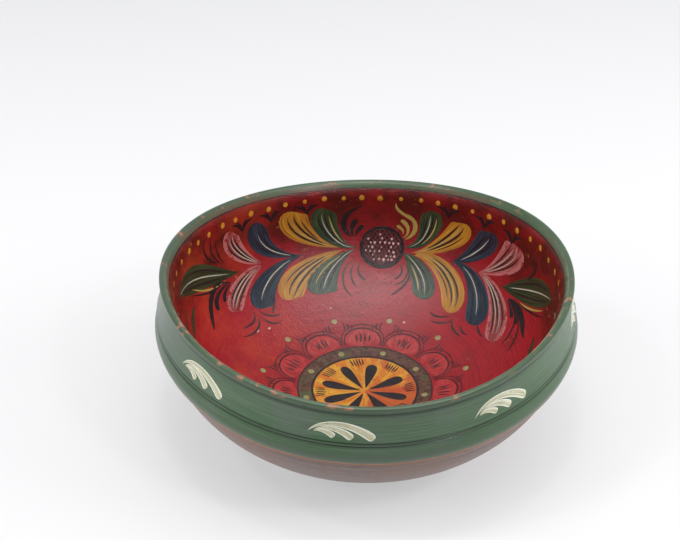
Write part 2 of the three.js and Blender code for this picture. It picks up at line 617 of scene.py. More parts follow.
def through(start, first, second, end):
    """The bend from start to end that passes first at a third and second at two thirds."""
    a = [27 * p - 8 * s - e for p, s, e in zip(first, start, end)]
    b = [27 * p - s - 8 * e for p, s, e in zip(second, start, end)]
    one = tuple((2 * x - y) / 18 for x, y in zip(a, b))
    two = tuple((2 * y - x) / 18 for x, y in zip(a, b))
    return (start, one, two, end)


def reach(length):
    """Millimetres in a degree round the bowl, at that length along the inside."""
    radius = next((wide for along, wide in INSIDE_LENGTHS if along >= length), INSIDE_LENGTHS[-1][1])
    return max(radius, 1) * math.pi / 180


class Stroke:
    """A stroke that follows a bend, drawn in degrees round the bowl and millimetres along it.

    Its half width at a share t of the way is half * t**swell * (1 - t**late)**close.
    """

    def __init__(self, bend, width, swell, late, close, lift):
        self.bend = bend
        self.swell, self.late, self.close = swell, late, close
        self.lift = lift
        steps = 60
        fullest = max(self.share(i / steps) for i in range(steps + 1))
        self.half = width / 2 / fullest

    def share(self, t):
        """How much of its half width the stroke has at a share t of the way."""
        return t**self.swell * (1 - t**self.late) ** self.close

    def at(self, t, across):
        """The place that far along and across the stroke, from -1 on its left to 1 on its right."""
        weights = ((1 - t) ** 3, 3 * t * (1 - t) ** 2, 3 * t * t * (1 - t), t**3)
        u, s = (sum(w * point[i] for w, point in zip(weights, self.bend)) for i in (0, 1))
        slopes = ((1 - t) ** 2, 2 * t * (1 - t), t * t)
        steps = [(q[0] - p[0], q[1] - p[1]) for p, q in zip(self.bend, self.bend[1:])]
        wide = reach(s)
        du = sum(w * step[0] for w, step in zip(slopes, steps)) * wide
        ds = sum(w * step[1] for w, step in zip(slopes, steps))
        aside = across * self.half * self.share(t) / (math.hypot(du, ds) or 1)
        return (u + aside * ds / wide, s - aside * du)

    def vein(self, across, start, end):
        """The bend that runs inside the stroke at that place across it, between two shares of its way."""
        third = (end - start) / 3
        return through(*(self.at(start + third * i, across) for i in range(4)))


def tightest(stroke):
    """The least turning radius of the stroke's bend over its half width there, its ends left out."""
    steps, left_out = 24, 3
    points = [stroke.at(i / steps, 0) for i in range(steps + 1)]
    places = [(u * reach(MID_WALL), s) for u, s in points]
    least = math.inf
    for i in range(left_out, steps - 1):
        (x0, y0), (x1, y1), (x2, y2) = places[i - 1 : i + 2]
        turn = math.atan2(y2 - y1, x2 - x1) - math.atan2(y1 - y0, x1 - x0)
        turn = abs((turn + math.pi) % math.tau - math.pi)
        radius = math.hypot(x1 - x0, y1 - y0) / max(turn, 1e-4)
        least = min(least, radius / max(stroke.half * stroke.share(i / steps), 0.1))
    return least


def leaf(root, left, tip, right, lift, late=4.5, close=0.5):
    """A pressed leaf: its edges' points lie at thirds of the way to its tip."""
    thirds = (1 / 3, 2 / 3)
    narrow, wide = (math.hypot((p[0] - q[0]) * reach(p[1]), p[1] - q[1]) for p, q in zip(left, right))
    near, far = ((1 - t**late) ** close for t in thirds)
    swell = min(max(math.log(wide * near / (narrow * far), 2), 0.4), 1.6)
    middles = [tuple((a + b) / 2 for a, b in zip(p, q)) for p, q in zip(left, right)]
    straighter, step, straightest = 0.0, 0.05, 0.6
    while True:
        # A bend too tight for its width is drawn towards a straight line.
        calmed = []
        for share, place in zip(thirds, middles):
            straight = [a + (b - a) * share for a, b in zip(root, tip)]
            calmed.append(tuple(a + (b - a) * straighter for a, b in zip(place, straight)))
        made = Stroke(through(root, *calmed, tip), 1, swell, late, close, lift)
        made.half = LEAF_FILL * wide / 2 / made.share(thirds[1])
        if tightest(made) > TIGHT or straighter > straightest:
            return made
        straighter += step


def ribbon(bend, width, lift):
    """A stroke with thin ends."""
    return Stroke(bend, width, 0.7, 1.0, 0.7, lift)


def liner(bend, width, lift):
    """A stroke of nearly the same width all along."""
    return Stroke(bend, width, 0.3, 1.0, 0.3, lift)


def comma(bend, width, lift, late=16.0):
    """A pressed stroke that starts as a hair and ends full and round."""
    return Stroke(bend, width, 0.8, late, 0.5, lift)


def dot(place, wide, high, lift):
    """A round or upright touch of the brush, wide and high in millimetres."""
    u, s = place
    tall = high / 2
    bend = ((u, s - tall), (u, s - tall / 3), (u, s + tall / 3), (u, s + tall))
    return Stroke(bend, wide, 0.5, 1.0, 0.5, lift)


def painted(name, strokes, finish, slot_name, rings, segments, body=0.08, surface="inside"):
    """Lays the strokes on the inside or on the band, and returns the piece."""
    chance = random.Random(name)
    mesh = bpy.data.meshes.new(name)
    mesh.from_pydata([(0, 0, 0)] * len(strokes), [], [])
    carried = {key: [] for key in HANDLES + NUMBERS}
    for stroke in strokes:
        for key, (u, s) in zip(HANDLES, stroke.bend):
            turn = SEED_ANGLE - u if surface == "inside" else u
            carried[key] += (math.radians(turn), s * MM, 0)
        sizes = (stroke.half * MM, stroke.swell, stroke.late, stroke.close, stroke.lift * MM)
        for key, value in zip(NUMBERS, (*sizes, chance.random())):
            carried[key].append(value)
    for key in HANDLES:
        mesh.attributes.new(key, "FLOAT_VECTOR", "POINT").data.foreach_set("vector", carried[key])
    for key in NUMBERS:
        mesh.attributes.new(key, "FLOAT", "POINT").data.foreach_set("value", carried[key])
    values = {
        "Surface": SURFACES[surface],
        "Rings": rings,
        "Segments": segments,
        "Body of Paint": body * MM,
        "Bedding": STROKE_BEDDING * MM,
        "Rim Pull": RIM_PULL * MM,
        "Rim Height": RIM_HEIGHT * MM,
        "Finish": finish,
    }
    piece = grow(name, mesh, BRUSH, values)
    for key in (*HANDLES, *NUMBERS, "ball"):
        extra = piece.data.attributes.get(key)
        if extra:
            piece.data.attributes.remove(extra)
    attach(piece, BODY)
    return piece


# ---------------------------------------------------------------- paints and wood


def shade(red, green, blue):
    """A colour mixed on a 0 to 255 chart, as the shader wants it."""

    def linear(value):
        value /= 255
        return value / 12.92 if value <= 0.04045 else ((value + 0.055) / 1.055) ** 2.4

    return (linear(red), linear(green), linear(blue), 1.0)


def finish(name, mix):
    """A material whose mix(board) gives the Principled shader's sockets."""
    material = bpy.data.materials.new(name)
    material.use_nodes = True
    board = Board(material.node_tree)
    board.tree.nodes.clear()
    shader = board.add("ShaderNodeBsdfPrincipled", {}, mix(board), "BSDF")
    out = board.tree.nodes.new("ShaderNodeOutputMaterial")
    board.plug(out.inputs["Surface"], shader)
    return material


def bumped(board, height, strength, distance):
    """A normal for relief of that height, in millimetres."""
    sockets = {"Strength": strength, "Distance": distance * MM, "Height": height}
    return board.add("ShaderNodeBump", {}, sockets, "Normal")


def varnish(board, place, relief):
    """Old, slightly gritty varnish over painted relief: it breaks a window's reflection into grains."""
    grit = board.noise(place, 0.55, 3, 0.7)
    swell = board.noise(place, 0.16, 2, 0.5)
    grains = board.between(board.noise(place, 0.62, 2, 0.5), 0.56, 0.7)
    normal = bumped(board, grit + grains * 0.35 + relief * 0.3 + swell * 0.6, 0.8, 0.5)
    return {"Roughness": 0.13 + grit * 0.12, "Specular IOR Level": 0.64, "Normal": normal}


def turned_place(board):
    """A point before the rim was pulled, its radius and height, and how far east and north it faces.

    Lengths are in drawing millimetres, and the last two go from -1 to 1.
    """
    place = board.attribute("as_turned")
    x, y, z = board.split(place)
    radius = board.sum("SQRT", x * x + y * y + 1e-9)
    return place * (1 / MM), radius / MM, z / MM, x / radius, y / radius


def varnished_wood(board):
    place, radius, height, east, north = turned_place(board)
    round_lines = board.join(east * 0.6, north * 0.6, height * 1.0 + radius * 0.35)
    turning = board.noise(round_lines, 1.6, 6, 0.7)
    grain = board.noise(board.join(east * 9, north * 9, height * 0.12 + radius * 0.1), 2.2, 5, 0.6)
    cloud = board.noise(place, 0.018, 3, 0.5)
    wood = board.colour_mix(board.between(turning, 0.35, 0.68), shade(84, 66, 64), shade(142, 122, 115))
    wood = board.colour_mix(board.between(grain, 0.5, 0.72) * 0.5, wood, shade(74, 56, 50))
    wood = board.colour_mix(board.between(cloud, 0.45, 0.65) * 0.35, wood, shade(122, 86, 64))
    bare = board.between(height + turning * 4, 73.4, 76.6) * board.between(height, 76, 75.4) * 0.85
    wood = board.colour_mix(bare, wood, shade(178, 104, 48))
    normal = bumped(board, turning * 0.7 + grain * 0.4, 0.35, 0.35)
    return {"Base Color": wood, "Roughness": 0.42 + turning * 0.15, "Coat Weight": 0.12, "Normal": normal}


def worn_green(board):
    place, radius, height, east, north = turned_place(board)
    crest_radius, groove_height, lines_height = 135.4, 112.4, 90.8
    brushed = board.noise(board.join(east * 1.6, north * 1.6, height * 0.55), 2.4, 6, 0.65)
    cloud = board.noise(place, 0.022, 4, 0.55)
    speck = board.noise(place, 0.16, 5, 0.65)
    green = board.colour_mix(board.between(brushed, 0.3, 0.7), shade(54, 78, 54), shade(80, 101, 78))
    green = board.colour_mix(board.between(cloud, 0.42, 0.66) * 0.6, green, shade(82, 92, 84))
    # The band is painted greyer and a little darker towards its left and back: painted shade on that side.
    left_side_shade = board.between(east * 0.8 - north * 0.3 + cloud * 0.4, -0.15, -0.55)
    green = board.colour_mix(left_side_shade * 0.5, green, shade(70, 76, 72))
    # The lip is darker, and worn through on its crest; a pale line along the crest's inner side is a painted
    # highlight.
    lip = board.between(height, 112.4, 114.0)
    green = board.colour_mix(lip * 0.6, green, shade(50, 68, 46))
    patch = board.noise(place, 0.075, 3, 0.6)
    wear = patch * 0.6 + speck * 0.5 + board.between(north, -0.9, -1.0) * 0.05
    crest = board.between(height, 116.6, 118.4) * board.between(wear, 0.61, 0.67)
    green = board.colour_mix(crest * 0.75, green, shade(150, 96, 76))
    # Painted highlight: a pale line along the inner side of the crest, strongest at the front.
    front = board.between(north, 0.2, -0.9)
    painted_crest_highlight = board.between(board.sum("ABSOLUTE", radius - crest_radius), 1.3, 0.4)
    painted_crest_highlight = painted_crest_highlight * board.between(height, 114.8, 116)
    painted_crest_highlight = painted_crest_highlight * (0.06 + front * 0.94) * board.between(speck, 0.34, 0.6)
    green = board.colour_mix(painted_crest_highlight * 0.7, green, shade(178, 164, 140))
    inner = board.between(radius, 136.4, 134.6) * lip
    green = board.colour_mix(inner * board.between(cloud, 0.44, 0.6) * 0.5, green, shade(96, 60, 46))
    # The groove under the lip and the two turned lines are painted darker: painted shade in these hollows.
    groove = board.between(board.sum("ABSOLUTE", height - groove_height), 2.4, 0.2)
    lines = board.between(board.sum("ABSOLUTE", height - lines_height), 3.6, 1.6)
    green = board.colour_mix(board.sum("MAXIMUM", groove * 0.7, lines * 0.45), green, shade(30, 46, 30))
    # The belt is darker on its lower half, and rubs brown at its lower edge.
    belt = board.between(height, 88.6, 84.0)
    green = board.colour_mix(belt * 0.5, green, shade(42, 68, 40))
    thin = board.between(height + speck * 6, 81.4, 77.6)
    green = board.colour_mix(thin * 0.8, green, shade(84, 68, 44))
    edge = board.between(height + speck * 1.6, 76.6, 75.8)
    green = board.colour_mix(edge, green, shade(186, 118, 60))
    normal = bumped(board, brushed * 0.6 + speck * 0.5, 0.3, 0.25)
    return {"Base Color": green, "Roughness": 0.24 + speck * 0.16, "Normal": normal}


def deep_red(board):
    place, _, height, east, north = turned_place(board)
    along = board.attribute("along", "Fac") / MM
    hair = board.noise(board.join(east * 2.2, north * 2.2, along * 0.9), 1.6, 6, 0.7)
    cloud = board.noise(place, 0.02, 4, 0.6)
    blotch = board.noise(place, 0.045, 5, 0.6)
    speck = board.noise(place, 0.35, 4, 0.6)
    red = board.colour_mix(board.between(hair, 0.3, 0.72), shade(122, 13, 24), shade(150, 22, 33))
    # The red is painted darker up the wall: painted shade under the lip.
    upper_wall_shade = board.between(height, 48, 92)
    red = board.colour_mix(upper_wall_shade * 0.8, red, shade(98, 13, 11))
    # Dark mottling of the paint, made heavier up the wall where it adds to the painted shade.
    mottle_and_shade = board.between(blotch + upper_wall_shade * 0.12, 0.5, 0.72) * (0.25 + upper_wall_shade * 0.5)
    red = board.colour_mix(mottle_and_shade, red, shade(48, 12, 8))
    left = board.between(east, -0.25, -0.95) * board.between(cloud, 0.4, 0.66)
    red = board.colour_mix(left * 0.6, red, shade(166, 56, 28))
    red = board.colour_mix(board.between(height, 113.4, 114.2) * 0.8, red, shade(30, 16, 12))
    worn = board.between(speck * 0.7 + blotch * 0.5, 0.74, 0.84)
    red = board.colour_mix(worn * 0.5, red, shade(196, 120, 70))
    return {"Base Color": red, **varnish(board, place, hair)}


def ring_brown(board):
    place, radius, _, east, _ = turned_place(board)
    cloud = board.noise(place, 0.05, 4, 0.6)
    speck = board.noise(place, 0.3, 4, 0.6)
    brown = board.colour_mix(board.between(speck, 0.35, 0.65), shade(66, 40, 32), shade(92, 62, 48))
    left = board.between(east, 0.2, -0.8)
    green = board.between(cloud + left * 0.12, 0.58, 0.72)
    brown = board.colour_mix(green * 0.6, brown, shade(70, 88, 54))
    outer_line = board.between(radius, RING_RADIUS - 1.3, RING_RADIUS - 0.7)
    inner_line = board.between(radius, DISC_RADIUS + 1.5, DISC_RADIUS + 0.9)
    outline = board.sum("MAXIMUM", outer_line, inner_line)
    brown = board.colour_mix(outline * 0.9, brown, shade(24, 20, 20))
    return {"Base Color": brown, **varnish(board, place, speck)}


def disc_ochre(board):
    place, radius, _, east, north = turned_place(board)
    spokes = board.noise(board.join(east * 2.6, north * 2.6, radius * 0.02), 2.0, 5, 0.6)
    cloud = board.noise(place, 0.05, 4, 0.6)
    speck = board.noise(place, 0.4, 4, 0.6)
    ochre = board.colour_mix(board.between(spokes, 0.35, 0.65), shade(190, 104, 28), shade(204, 154, 48))
    right = board.between(east * 0.3 - north * 0.15 + cloud, 0.58, 0.72)
    ochre = board.colour_mix(right * 0.75, ochre, shade(168, 54, 32))
    ochre = board.colour_mix(board.between(speck, 0.52, 0.66) * 0.55, ochre, shade(158, 70, 24))
    outline = board.between(radius, DISC_RADIUS - 0.8, DISC_RADIUS - 0.3)
    ochre = board.colour_mix(outline, ochre, shade(26, 20, 18))
    return {"Base Color": ochre, **varnish(board, place, spokes)}


def brushed_paint(name, main, light, dark, under=(120, 22, 18), wear=0.78, rim=None):
    """A stroke's paint: bristle streaks run along it, and it wears through to what lies under."""

    def mix(board):
        way, across, tone = board.split(board.attribute("stroke"))
        place = board.attribute("as_turned") * (1 / MM)
        bristle = board.join(way * 1.3 + tone * 31, across * 4.5, tone * 47)
        streak = board.noise(bristle, 1.5, 4, 0.6)
        cloud = board.noise(place, 0.12, 4, 0.6)
        speck = board.noise(place, 0.5, 3, 0.6)
        colour = board.colour_mix(board.between(streak, 0.46, 0.72), shade(*main), shade(*light))
        colour = board.colour_mix(board.between(streak, 0.48, 0.28), colour, shade(*dark))
        if rim:
            edge = board.between(board.sum("ABSOLUTE", across) + streak * 0.5, 0.75, 1.05)
            colour = board.colour_mix(edge, colour, shade(*rim))
        thin = board.between(cloud * 0.5 + speck * 0.5 + streak * 0.3, wear, wear + 0.1)
        colour = board.colour_mix(thin, colour, shade(*under))
        return {"Base Color": colour, **varnish(board, place, streak)}

    return finish(name, mix)


def pale_floor(board):
    place = board.add("ShaderNodeTexCoord", {}, {}, "Object")
    cloud = board.noise(place, 1.5, 2, 0.5)
    colour = board.colour_mix(cloud, shade(160, 160, 161), shade(164, 164, 164))
    return {
        "Base Color": colour,
        "Roughness": 0.9,
        "Specular IOR Level": 0.1,
        "Emission Color": shade(250, 250, 252),
        "Emission Strength": 0.41,
    }


# ---------------------------------------------------------------- stage


def lay_floor():
    """A pale sheet that lies under the bowl and sweeps up far behind it."""
    front, depth, rise, bend, wide, steps = -5.0, 2.2, 2.6, 0.9, 6.0, 16
    line = [(front, 0.0), (depth - bend, 0.0)]
    for i in range(1, steps + 1):
        turn = math.pi / 2 * i / steps
        line.append((depth - bend + bend * math.sin(turn), bend - bend * math.cos(turn)))
    line.append((depth, rise))
    points = [(side, y, z) for y, z in line for side in (-wide, wide)]
    faces = [(2 * i, 2 * i + 1, 2 * i + 3, 2 * i + 2) for i in range(len(line) - 1)]
    mesh = bpy.data.meshes.new("backdrop")
    mesh.from_pydata(points, [], faces)
    mesh.shade_smooth()
    sheet = bpy.data.objects.new("backdrop", mesh)
    mesh.materials.append(finish("pale floor", pale_floor))
    bpy.context.scene.collection.objects.link(sheet)


# ---------------------------------------------------------------- the garlands

# Each leaf: its root, two points of its left edge, its tip and two points of its right edge.
GREEN_LEAVES = [
    ((8, 138.5), ((12, 147), (12.5, 160)), (16.5, 172), ((16, 143), (20.5, 157))),
    ((8.5, 133.5), ((10.5, 123), (13.5, 110)), (20.5, 100), ((15.5, 129.5), (23, 118))),
    ((-9, 138), ((-16.5, 138), (-24, 152)), (-20.5, 172), ((-13.5, 142.5), (-15.5, 157))),
    ((-9, 135.5), ((-17.5, 130), (-28, 119)), (-26, 101), ((-14, 127), (-17.5, 111))),
]
OCHRE_LEAVES = [
    ((11, 135), ((18.5, 141.5), (23.5, 156)), (28.5, 167.5), ((21, 134.5), (31.5, 148.5))),
    ((12.5, 133), ((19, 127), (26.5, 112)), (36, 97.5), ((24, 134), (36, 121))),
    ((-15, 137), ((-25.5, 137.5), (-36.5, 151)), (-31.5, 173), ((-23, 142), (-27, 157))),
    ((-14.5, 134.5), ((-26, 132.5), (-40.5, 123)), (-41, 103), ((-22, 127.5), (-31, 113.5))),
]
BLUE_LEAVES = [
    ((27, 135.5), ((32.5, 143), (35.5, 157.5)), (39.5, 168), ((35, 134.5), (44, 151))),
    ((27.5, 134), ((34, 128), (40.5, 111)), (51, 99), ((37.5, 134.5), (49, 122))),
    ((-29.5, 135.5), ((-38.5, 137.5), (-48, 149)), (-44.5, 171), ((-36.5, 141.5), (-40.5, 154.5))),
    ((-30, 135), ((-41, 133), (-54, 124)), (-55.5, 106), ((-37.5, 128), (-45, 114.5))),
]
PINK_LEAVES = [
    ((39, 135), ((44.5, 142), (47.5, 156)), (52, 168.5), ((49.5, 137), (58.5, 152))),
    ((39, 134.5), ((46, 126.5), (54, 110.5)), (65.5, 100.5), ((47, 135), (60.5, 124))),
    ((-46.5, 138.5), ((-53, 140.5), (-60.5, 155)), (-56, 172), ((-50, 146), (-53, 158.5))),
    ((-47, 136), ((-56, 136), (-66.5, 129)), (-68.5, 116.5), ((-52, 130.5), (-59.5, 121))),
]
TIP_LEAVES = [
    ((51, 135), ((57, 147), (67, 161)), (80.5, 161), ((59, 134.5), (71, 141.5))),
    ((-56.5, 140), ((-66.5, 140.5), (-79, 148)), (-93.5, 162.5), ((-66, 152.5), (-80, 168.5))),
]


def leaves(table, layer, *ending):
    """The table's leaves, in that layer; the ending is how late a leaf is fullest and how it closes."""
    return [leaf(*places, LAYERS[layer], *ending) for places in table]


def veins(made, places, width, start, end, layer="black lines"):
    """Lines inside each leaf, one for each place across it."""
    lift = LAYERS[layer]
    return [ribbon(one.vein(place, start, end), width, lift) for one in made for place in places]


def both(strokes):
    """The strokes, and the same again on the other side of the bowl."""
    twins = []
    for one in strokes:
        twin = copy.copy(one)
        twin.bend = tuple((u + 180, s) for u, s in one.bend)
        twins.append(twin)
    return strokes + twins


# Each bends through four points; then its width.
BLACK_CRESCENTS = [
    (((-11, 145.5), (-13.6, 153), (-13, 163), (-7.5, 172.5)), 4.4),
    (((-63, 136.5), (-72, 139.5), (-79, 130), (-84.5, 120.5)), 4.6),
    (((56.5, 131), (65, 131.5), (71.5, 127), (77.5, 123.5)), 4.6),
    (((-68, 179), (-70.5, 171), (-68.5, 161), (-64.5, 154.5)), 1.8),
    (((-65.8, 175), (-66.8, 168), (-65.8, 160), (-63, 152)), 1.5),
    (((-63.4, 172), (-64, 166), (-63.4, 158), (-61.6, 151)), 1.1),
    (((63, 168), (63.8, 163), (62.8, 157), (60.6, 151)), 2.0),
    (((59.6, 167), (62, 165), (63.2, 161), (62.4, 157)), 1.2),
    (((63, 134.5), (68, 136), (74, 140), (79, 146)), 1.4),
    (((-66, 139), (-73, 140), (-79, 145), (-83.6, 150)), 1.4),
]
BLACK_COMMAS = [
    (((-10.4, 144.5), (-11, 150), (-10.6, 155), (-9, 160)), 4.2),
    (((-9.6, 145), (-9.4, 148.5), (-8.4, 151.5), (-7, 154.8)), 3.6),
    (((-62, 136), (-68, 136), (-73, 132.5), (-74.6, 126)), 4.6),
    (((-62, 135.4), (-65.4, 134), (-68.2, 131), (-69.6, 127)), 3.4),
    (((56.8, 130.4), (61, 130), (65.4, 127), (68, 122.5)), 4.6),
    (((56.8, 130), (59.4, 128.4), (62, 126), (64, 123)), 3.4),
]
SPIKES = [
    (((-98, 133), (-94, 137.5), (-89.5, 141.5), (-85.5, 145)), 4.6),
    (((-101, 139), (-97.5, 143.5), (-94, 148), (-91.5, 152)), 2.4),
    (((89.8, 124), (87, 126.5), (84.4, 129.5), (81.6, 132.5)), 4.2),
]
TWIGS = [(-26.4, 168), (-39.6, 168), (-51.2, 168), (22.6, 169), (36.6, 169), (49.0, 167)]
FINE_LINES = [
    # Under the lower leaves.
    ((-58, 107), (-56.5, 101), (-53, 97), (-49, 97)),
    ((-59.4, 101), (-58.4, 96), (-56, 92), (-52, 91)),
    ((-60.7, 108), (-63, 103), (-67, 102), (-72, 104)),
    ((-61.2, 103), (-64, 97), (-70, 96), (-76, 100.5)),
    ((-47.8, 107.5), (-50.4, 104), (-52, 101), (-52.6, 99)),
    ((27.3, 93), (30.5, 90.5), (34.5, 92), (38.5, 96)),
    ((29.9, 86), (34, 86), (38, 89), (41, 93.5)),
    ((40, 95.3), (42, 90), (46, 87), (51, 87)),
    ((46, 94), (48, 91), (50.5, 90), (53, 91)),
    ((52, 103.5), (54.5, 100), (57.5, 98), (60.5, 98)),
    ((62.4, 129.7), (67, 123), (70, 114), (71.2, 106)),
    ((67.5, 127.5), (72, 121), (75.4, 114), (77, 108)),
    # Beneath the seed head.
    ((-11.3, 126), (-15, 117), (-15.6, 106), (-12.4, 96)),
    ((-9.8, 124.5), (-12, 117), (-11.8, 110), (-9.8, 104)),
    ((-8.2, 122.8), (-9, 117), (-7.8, 112), (-5.8, 109.5)),
    ((9.4, 125.8), (11.4, 118), (9.8, 111), (6.6, 107)),
    ((7.1, 124.4), (8.8, 119), (7.8, 114), (6.1, 112)),
    ((10.6, 123), (12.2, 114), (9.4, 104), (5.4, 98)),
]
YELLOW_CRESCENTS = [
    (((4.2, 176), (5.0, 169.5), (7.6, 165), (9.6, 161)), 2.6),
    (((7.0, 166.5), (10.6, 161), (11.2, 152.5), (8.0, 144.5)), 3.6),
    (((63, 135.6), (67.4, 137), (72.4, 141.5), (77.4, 148.6)), 1.5),
    (((-64, 139.6), (-72, 141.2), (-78, 147), (-82.8, 154)), 1.5),
]
YELLOW_COMMAS = [
    (((7.2, 146), (8.8, 150), (8.4, 156), (6.0, 160.5)), 3.4),
    (((7.0, 148.5), (7.2, 151), (6.4, 153.4), (4.8, 155.6)), 2.6),
]


def lines_of(table):
    return [ribbon(through(*points), width, LAYERS["black lines"]) for points, width in table]


def commas_of(table):
    return [comma(through(*points), width, LAYERS["black lines"]) for points, width in table]


def twig(place):
    """Two thin black strokes that part like a bird's foot."""
    u, s = place
    made = []
    for side in (-1, 1):
        for far, tall, width in ((4.6, 8.4, 2.2), (2.6, 9.4, 1.5)):
            bend = through(
                (u, s),
                (u + side * far * 0.2, s + tall * 0.5),
                (u + side * far * 0.5, s + tall * 0.84),
                (u + side * far, s + tall),
            )
            made.append(ribbon(bend, width, LAYERS["twigs"]))
    return made


# The seed head: how far along the inside its middle lies, and its measures, in millimetres.
SEED_PLACE = 137
SEED_HEAD, SEED_CORE = 35, 30.5
LATTICE_RADIUS, LATTICE_GAP, LATTICE_WIDTH, SHORTEST_LATTICE = 15.2, 2.9, 0.55, 3
SEEDS_RADIUS, SEED_COLUMNS, SEED_ROWS = 13.6, 3.6, 3.4

# The share of the seeds that the painter left out.
SEEDS_LEFT_OUT = 0.22


def seed_lattice():
    """The crossing lines of the seed head, cut off at its edge."""
    strokes = []
    wide = reach(SEED_PLACE)
    for lean in (-0.55, 0.62):
        for k in range(-5, 6):
            offset = k * LATTICE_GAP
            half = math.sqrt(max(LATTICE_RADIUS**2 - offset**2, 0))
            if half < SHORTEST_LATTICE:
                continue
            c, s = math.cos(lean), math.sin(lean)
            ends = []
            for sign in (-1, 1):
                x, y = offset * c - sign * half * s, offset * s + sign * half * c
                ends.append((x / wide, SEED_PLACE + y))
            a, b = ends
            one, two = (tuple(p + (q - p) * third / 3 for p, q in zip(a, b)) for third in (1, 2))
            strokes.append(liner((a, one, two, b), LATTICE_WIDTH, LAYERS["seed lattice"]))
    return strokes


def seed_dots():
    """The pale seeds, in loose rows."""
    chance = random.Random(11)
    spots = []
    wide = reach(SEED_PLACE)
    for row in range(-4, 5):
        for column in range(-4, 5):
            x = (column + (row % 2) / 2) * SEED_COLUMNS + chance.uniform(-0.5, 0.5)
            y = row * SEED_ROWS + chance.uniform(-0.5, 0.5)
            if math.hypot(x, y) > SEEDS_RADIUS or chance.random() < SEEDS_LEFT_OUT:
                continue
            size = chance.uniform(1.1, 1.9)
            tall = size * chance.uniform(1.0, 1.4)
            spots.append(dot((x / wide, SEED_PLACE + y), size, tall, LAYERS["seed dots"]))
    return spots


# ---------------------------------------------------------------- the medallion and its scallops

# Angles are in degrees, and lengths are millimetres along the floor from the bowl's axis.
SCALLOPS = 11
SCALLOP_START = -8.0
SCALLOP_FOOT = 50.5
PETALS = (5, 57, 101, 143, 197, 238, 277, 322)
RING_DOTS = (-112, -71, -30, 12, 53, 94, 135, 176, 217)
RING_MIDDLE = 43.6
RIM_DOTS = 55
RIM_DOT_PLACE = 180.3

# The scallops' arches: half an arch in degrees, its height and its line's width.
ARCHES = ((14.8, 73, 1.2), (17.0, 77.5, 0.7))


def scallop_places():
    return [SCALLOP_START + 360 / SCALLOPS * k for k in range(SCALLOPS)]


def scallop_fields():
    """The red field inside each scallop."""
    return [dot((middle, 58), 29, 17, LAYERS["scallop fields"]) for middle in scallop_places()]


def scallop_arches(middle):
    """The two arched lines over the ring."""
    lines = []
    for half, high, width in ARCHES:
        far = half * 1.05
        foot = ((middle - half, SCALLOP_FOOT), (middle + half, SCALLOP_FOOT))
        bend = (foot[0], (middle - far, high), (middle + far, high), foot[1])
        lines.append(liner(bend, width, LAYERS["scallop arches"]))
    return lines


def scallop_lines():
    """Each scallop's arches, and four short strokes that fan out inside them."""
    lines = []
    chance = random.Random(5)
    for middle in scallop_places():
        lines += scallop_arches(middle)
        for place in (-4.5, -1.6, 1.6, 4.5):
            u = middle + place
            lean = chance.uniform(-0.8, 0.8)
            start, end = 52.5 + abs(place) * 0.3, 63.5 - abs(place) * 0.6
            rise = (end - start) / 3
            first, second = (u + lean, start + rise), (u + lean, start + rise * 2)
            bend = through((u, start), first, second, (middle + place * 1.2, end))
            lines.append(ribbon(bend, 1.3, LAYERS["fine lines"]))
    return lines


def scallop_commas():
    """Three short strokes to either side of each pale dot."""
    lines = []
    for middle in scallop_places():
        place = middle + 180 / SCALLOPS
        for side in (-1, 1):
            for k in range(3):
                u = place + side * (4.2 + k * 2.4)
                low, high = 65.5 + k * 0.3, 74 - k * 1.6
                rise = (high - low) / 3
                first, second = (u + side * 0.7, low + rise), (u + side * 0.6, low + rise * 2)
                bend = through((u, low), first, second, (u - side * 0.4, high))
                lines.append(ribbon(bend, 1.0, LAYERS["fine lines"]))
    return lines


def scallop_dots():
    """The pale dot between each two scallops."""
    middles = [place + 180 / SCALLOPS for place in scallop_places()]
    return [dot((middle, 75.5), 4.5, 4.5, LAYERS["petals and dots"]) for middle in middles]


def medallion_petals():
    """Eight drops that meet in the middle of the disc."""
    chance = random.Random(3)
    strokes = []
    for turn in PETALS:
        end = 31 + chance.uniform(-1.5, 1.2)
        wide = 8.4 * chance.uniform(0.9, 1.1)
        bend = through((turn, 3), (turn, 12.5), (turn, 22), (turn, end))
        strokes.append(Stroke(bend, wide, 0.9, 5, 0.5, LAYERS["petals and dots"]))
    return strokes


def medallion_hatches():
    """Five short strokes between each two petals."""
    lines = []
    ends = PETALS[1:] + (PETALS[0] + 360,)
    for a, b in zip(PETALS, ends):
        for k in range(-2, 3):
            u, low = (a + b) / 2 + k * 3.6, 26.6 + abs(k) * 1.5
            bend = through((u + 1.6, low), (u + 0.8, 30.5), (u, 33.5), (u - 0.6, 36.8))
            lines.append(ribbon(bend, 1.1, LAYERS["disc hatches"]))
    return lines


def ring_dots():
    return [dot((u, RING_MIDDLE), 4.6, 4.6, LAYERS["petals and dots"]) for u in RING_DOTS]


def rim_dots():
    """The row of yellow dots under the lip."""
    chance = random.Random(8)
    strokes = []
    for k in range(RIM_DOTS):
        u = -1 + 360 / RIM_DOTS * k + chance.uniform(-0.5, 0.5)
        size = chance.uniform(3.2, 4.4)
        place = (u, RIM_DOT_PLACE + chance.uniform(-0.7, 0.7))
        strokes.append(dot(place, size, size * 1.15, LAYERS["petals and dots"]))
    return strokes


# Where the varnish has chipped off: the place, width and height of each chip.
CHIPS = (((-66.6, 95), 3.0, 1.8), ((-60.4, 91), 2.4, 1.6), ((17, 77), 2.0, 1.8), ((-24, 88), 1.4, 1.2))


# ---------------------------------------------------------------- sprays on the band

SPRAY_STARTS = (-145, -103.5, -61, -16, 29, 74, 119, 164)


